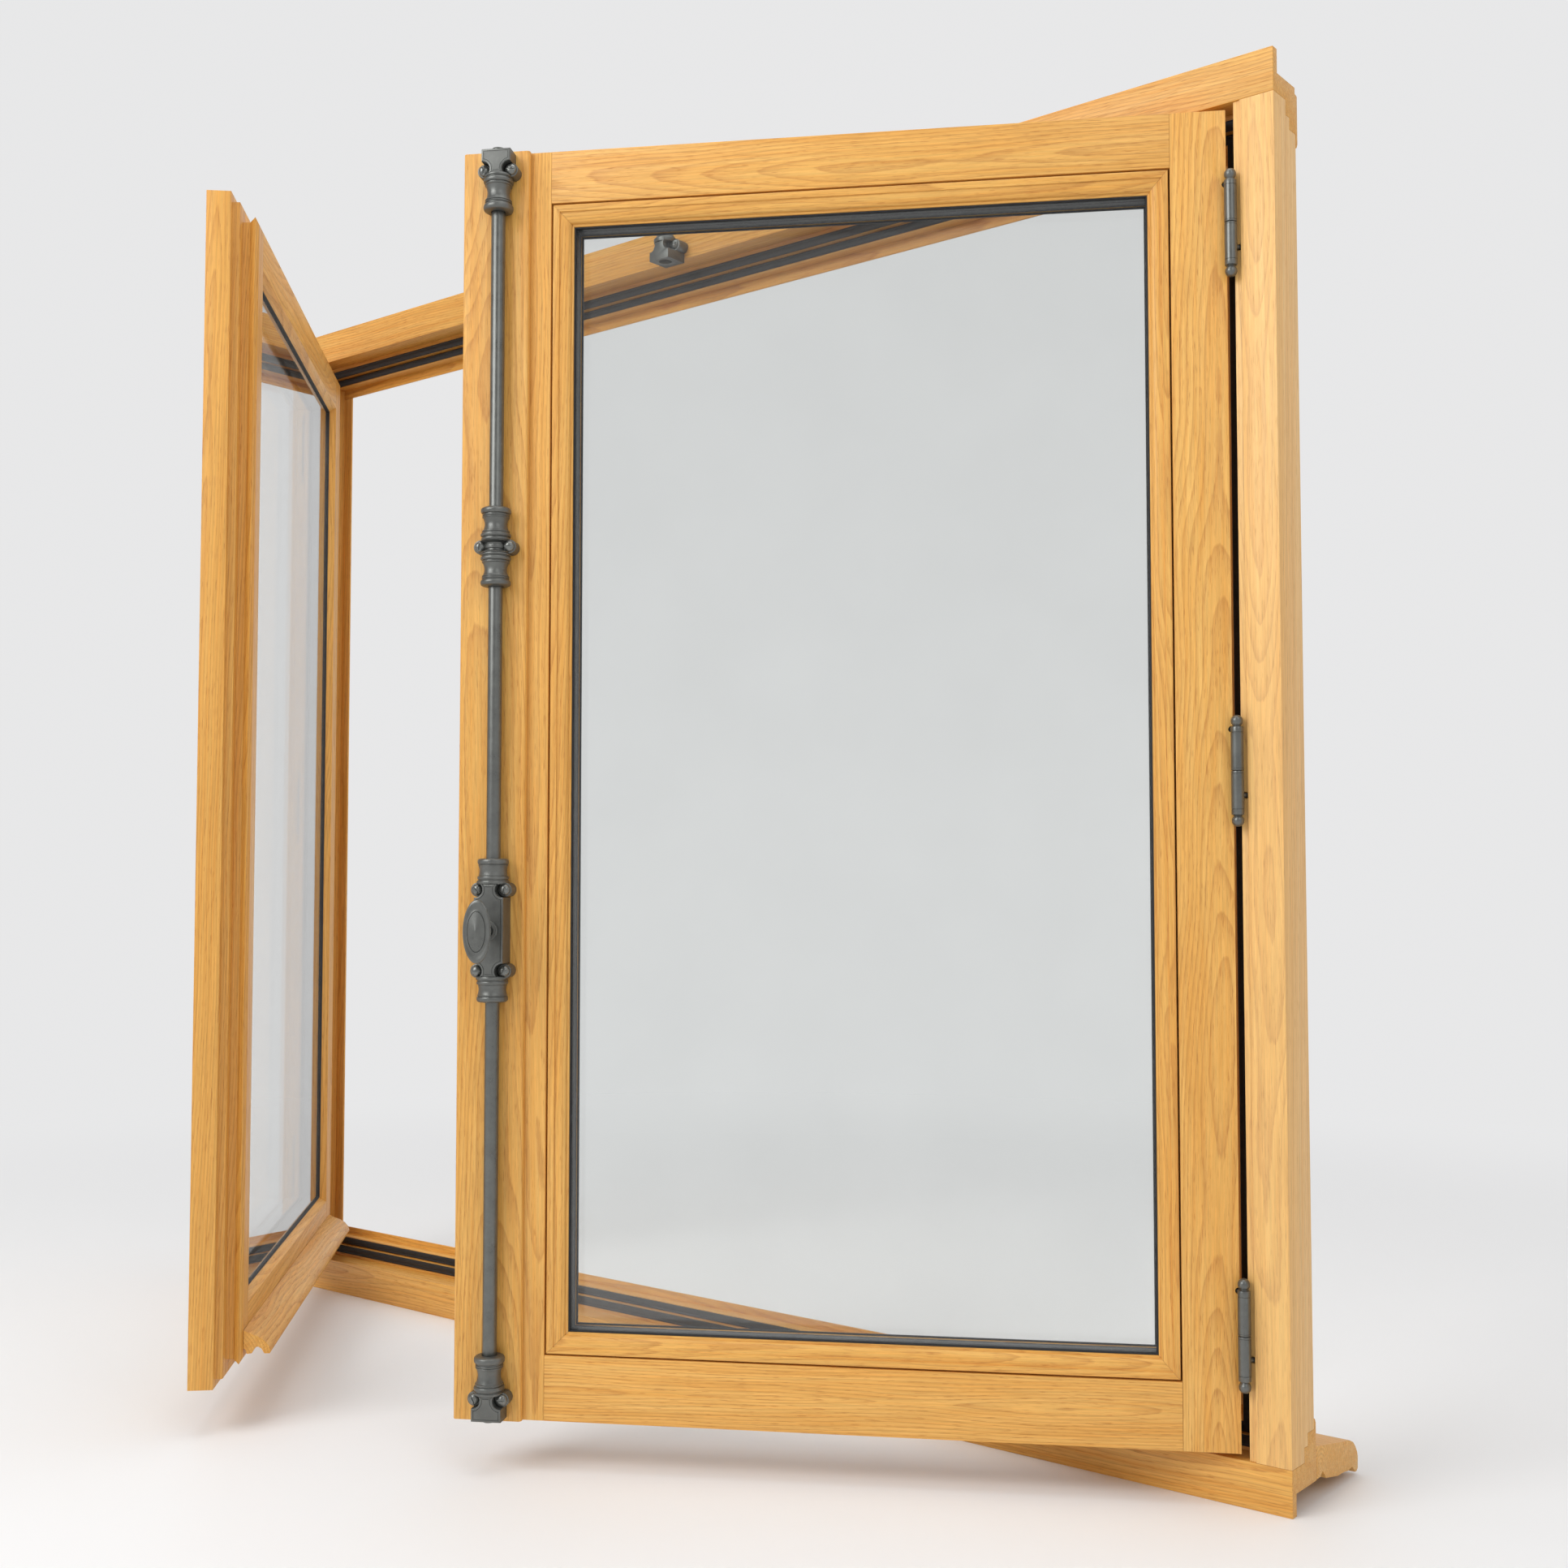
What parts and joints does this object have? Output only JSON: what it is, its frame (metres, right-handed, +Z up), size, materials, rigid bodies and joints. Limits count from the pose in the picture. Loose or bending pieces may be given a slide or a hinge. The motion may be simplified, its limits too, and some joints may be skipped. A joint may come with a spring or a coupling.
{
  "type": "casement window",
  "caption": "French casement window with an oak rebated frame, glazed sashes that open inwards on barrel hinges, a sill with a drip, and a surface cremone bolt with an oval knob.",
  "frame": {"origin": "middle of the bottom rail's flat underside, halfway between the cover lip's back face and the body's outdoor face", "axes": "+X along the window's width, to the right as seen from indoors; +Y towards outdoors; +Z up"},
  "size_m": [1.748, 0.7496, 1.5585],
  "materials": {
    "frame_oak": "satin honey varnish, open grain",
    "sash_oak": "satin honey varnish, open grain",
    "cremone_iron": "dark grey, semi-matt",
    "hinge_iron": "dark grey, semi-matt, turned",
    "gasket": "matt black",
    "spacer": "dark grey, matt",
    "glass": "clear"
  },
  "bodies": {
    "frame": {"frame_head": "frame_oak", "frame_bottom_rail": "frame_oak", "frame_jamb_left": "frame_oak", "frame_jamb_right": "frame_oak", "sill": "frame_oak", "seal_inner": "gasket", "seal_outer": "gasket", "keeper_top": "cremone_iron", "keeper_bottom": "cremone_iron", "hinge_left_top_frame": "hinge_iron", "hinge_left_middle_frame": "hinge_iron", "hinge_left_bottom_frame": "hinge_iron", "hinge_right_top_frame": "hinge_iron", "hinge_right_middle_frame": "hinge_iron", "hinge_right_bottom_frame": "hinge_iron"},
    "right_sash": {"right_hinge_stile": "sash_oak", "right_meeting_stile": "sash_oak", "right_top_rail": "sash_oak", "right_bottom_rail": "sash_oak", "right_pane_inner": "glass", "right_pane_outer": "glass", "right_spacer": "spacer", "right_bead_hinge": "sash_oak", "right_bead_meeting": "sash_oak", "right_bead_bottom": "sash_oak", "right_bead_top": "sash_oak", "right_drip_bar": "sash_oak", "cover_strip": "sash_oak", "hinge_right_top_sash": "hinge_iron", "hinge_right_middle_sash": "hinge_iron", "hinge_right_bottom_sash": "hinge_iron", "cremone_box": "cremone_iron", "guide_top": "cremone_iron", "guide_middle": "cremone_iron", "guide_bottom": "cremone_iron", "knob_rose": "cremone_iron"},
    "left_sash": {"left_hinge_stile": "sash_oak", "left_meeting_stile": "sash_oak", "left_top_rail": "sash_oak", "left_bottom_rail": "sash_oak", "left_pane_inner": "glass", "left_pane_outer": "glass", "left_spacer": "spacer", "left_bead_hinge": "sash_oak", "left_bead_meeting": "sash_oak", "left_bead_bottom": "sash_oak", "left_bead_top": "sash_oak", "left_drip_bar": "sash_oak", "hinge_left_top_sash": "hinge_iron", "hinge_left_middle_sash": "hinge_iron", "hinge_left_bottom_sash": "hinge_iron"},
    "knob": {"knob": "cremone_iron", "knob_spindle": "cremone_iron"},
    "top_rod": {"rod_top": "cremone_iron"},
    "bottom_rod": {"rod_bottom": "cremone_iron"}
  },
  "joints": [
    {"name": "right_sash_hinge", "type": "hinge", "parent": "frame", "child": "right_sash", "pos_m": [0.8264, -0.0415, 0.75572], "axis": [0, 0, 1], "range_deg": [-30.21, 89.79]},
    {"name": "left_sash_hinge", "type": "hinge", "parent": "frame", "child": "left_sash", "pos_m": [-0.8264, -0.0415, 0.75572], "axis": [0, 0, -1], "range_deg": [-44.74, 75.26]},
    {"name": "knob_turn", "type": "hinge", "parent": "right_sash", "child": "knob", "pos_m": [0.12413, -0.46543, 0.5806], "axis": [0.5032, -0.8642, 0], "range_deg": [0, 180]},
    {"name": "top_rod_slide", "type": "slide", "parent": "right_sash", "child": "top_rod", "axis": [0, 0, 1], "range_m": [0, 0.02]},
    {"name": "bottom_rod_slide", "type": "slide", "parent": "right_sash", "child": "bottom_rod", "axis": [0, 0, -1], "range_m": [0, 0.02]}
  ],
  "couplings": [
    {"joint": "knob_turn", "follows": "top_rod_slide", "rad_per_m": 157.07},
    {"joint": "bottom_rod_slide", "follows": "top_rod_slide", "ratio": 1}
  ]
}
